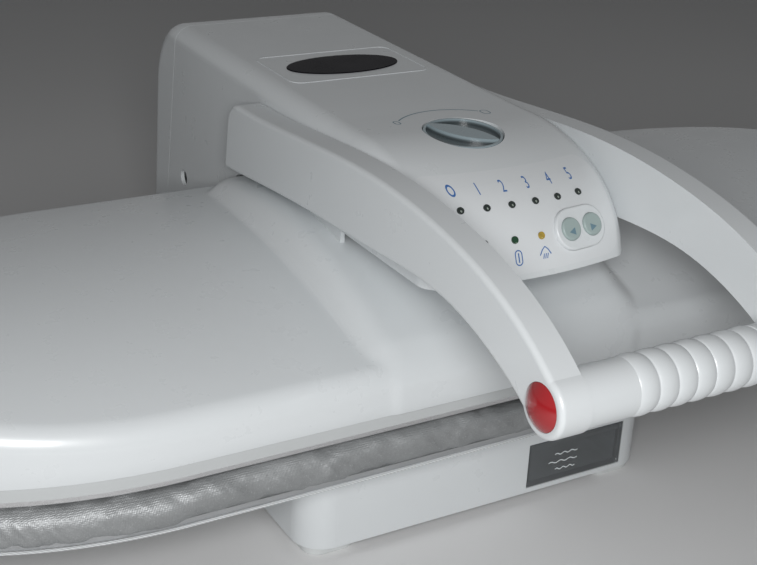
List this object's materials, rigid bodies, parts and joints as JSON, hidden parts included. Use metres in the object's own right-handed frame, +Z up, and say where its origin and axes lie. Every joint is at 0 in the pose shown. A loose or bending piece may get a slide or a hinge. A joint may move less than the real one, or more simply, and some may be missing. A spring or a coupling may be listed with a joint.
{
  "type": "steam press",
  "caption": "Table-top steam press: padded board, hinged wing-shaped hot head, two-armed lever handle and a slide-out water tank.",
  "frame": {"origin": "Centre of the bounding box in plan, on the surface that the feet stand on.", "axes": "+X is the press's right, +Y is its rear, +Z is up; the board's length runs along X and the handle points to -Y."},
  "size_m": [0.72, 0.5048, 0.2155],
  "materials": {
    "white_plastic": "satin white moulded plastic",
    "pale_grey_plastic": "pale grey heat-resistant plastic",
    "grey_plastic": "mid grey moulded plastic",
    "foot_rubber": "soft dark rubber",
    "zinc_steel": "zinc-plated pressed steel",
    "bright_steel": "bright ground steel",
    "spring_steel": "dark spring wire",
    "tray_steel": "grey painted sheet steel",
    "pad_foam": "open foam pad",
    "silver_cloth": "silver-coated ironing cloth",
    "pump_plastic": "black nylon pump body",
    "hose_rubber": "translucent grey silicone hose",
    "circuit_board": "green circuit board",
    "tank_plastic": "smoked clear plastic",
    "plate_metal": "smooth cast aluminium",
    "bush_brass": "turned brass",
    "panel_plastic": "pale grey gloss panel",
    "lamp_amber": "clear amber lamp lens",
    "lamp_green": "clear green lamp lens",
    "lamp_dark": "unlit dark lamp lens",
    "badge_black": "gloss black plastic",
    "grip_plastic": "ribbed satin white plastic",
    "dial_plastic": "blue-grey gloss plastic",
    "key_plastic": "grey-blue key cap",
    "button_red": "glossy red plastic"
  },
  "bodies": {
    "base": {"base_shell": "white_plastic", "bottom_pan": "grey_plastic", "corner_feet": "foot_rubber", "base_screws": "zinc_steel", "board_tray": "tray_steel", "board_pad": "pad_foam", "board_cover": "silver_cloth", "hinge_bracket": "zinc_steel", "bracket_bolts": "zinc_steel", "neck_cover": "grey_plastic", "hinge_pin": "bright_steel", "pin_clips": "zinc_steel", "torsion_springs": "spring_steel", "pump": "pump_plastic", "pump_mount": "foot_rubber", "tank_seat": "grey_plastic", "suction_hose": "hose_rubber", "delivery_hose": "hose_rubber", "power_board": "circuit_board", "cord_inlet": "foot_rubber"},
    "water_tank": {"water_tank": "tank_plastic", "tank_lid": "tank_plastic", "tank_cap": "grey_plastic", "tank_valve": "grey_plastic"},
    "head": {"upper_cover": "white_plastic", "control_housing": "white_plastic", "rear_cover": "white_plastic", "insulating_frame": "pale_grey_plastic", "pressing_plate": "plate_metal", "heating_element": "bright_steel", "thermostat": "bright_steel", "steam_chamber_lid": "plate_metal", "head_frame": "zinc_steel", "hinge_bushes": "bush_brass", "frame_bolts": "zinc_steel", "cover_screws": "zinc_steel", "steam_hose": "hose_rubber", "control_board": "circuit_board", "control_panel": "panel_plastic", "indicator_leds": "lamp_dark", "dark_led": "lamp_dark", "green_led": "lamp_green", "amber_led": "lamp_amber", "key_surround": "white_plastic", "key_switches": "circuit_board", "dial_potentiometer": "grey_plastic", "badge_plate": "badge_black"},
    "lever": {"left_arm": "white_plastic", "right_arm": "white_plastic", "handle_grip": "grip_plastic", "grip_tube": "bright_steel", "lever_shaft": "bright_steel", "button_switches": "badge_black", "button_springs": "spring_steel"},
    "pressure_link": {"pressure_link": "zinc_steel"},
    "steam_dial": {"steam_dial": "dial_plastic"},
    "key_left": {"key_left": "key_plastic"},
    "key_right": {"key_right": "key_plastic"},
    "left_steam_button": {"left_steam_button": "button_red"},
    "right_steam_button": {"right_steam_button": "button_red"}
  },
  "joints": [
    {"name": "head_hinge", "type": "hinge", "parent": "base", "child": "head", "pos_m": [0, 0.189, 0.115], "axis": [-1, 0, 0], "range_deg": [0, 45]},
    {"name": "lever_hinge", "type": "hinge", "parent": "head", "child": "lever", "pos_m": [0, 0.072, 0.17], "axis": [-1, 0, 0], "range_deg": [0, 18]},
    {"name": "link_hinge", "type": "hinge", "parent": "base", "child": "pressure_link", "pos_m": [0.007, 0.178, 0.098], "axis": [-1, 0, 0], "range_deg": [0, 32.8]},
    {"name": "dial_turn", "type": "hinge", "parent": "head", "child": "steam_dial", "pos_m": [0, -0.05, 0.2058], "axis": [0, -0.0732, 0.9973], "range_deg": [-135, 135]},
    {"name": "key_left_press", "type": "slide", "parent": "head", "child": "key_left", "axis": [-0.1016, 0.8508, -0.5156], "range_m": [0, 0.0008], "stiffness_N_per_m": 400},
    {"name": "key_right_press", "type": "slide", "parent": "head", "child": "key_right", "axis": [-0.1016, 0.8508, -0.5156], "range_m": [0, 0.0008], "stiffness_N_per_m": 400},
    {"name": "left_button_press", "type": "slide", "parent": "lever", "child": "left_steam_button", "axis": [1, 0, 0], "range_m": [0, 0.003], "stiffness_N_per_m": 300},
    {"name": "right_button_press", "type": "slide", "parent": "lever", "child": "right_steam_button", "axis": [-1, 0, 0], "range_m": [0, 0.003], "stiffness_N_per_m": 300},
    {"name": "tank_slide", "type": "slide", "parent": "base", "child": "water_tank", "axis": [0, -1, 0], "range_m": [0, 0.125]}
  ],
  "couplings": [
    {"joint": "lever_hinge", "follows": "head_hinge", "ratio": 0.4},
    {"joint": "link_hinge", "follows": "head_hinge", "ratio": 0.729}
  ]
}
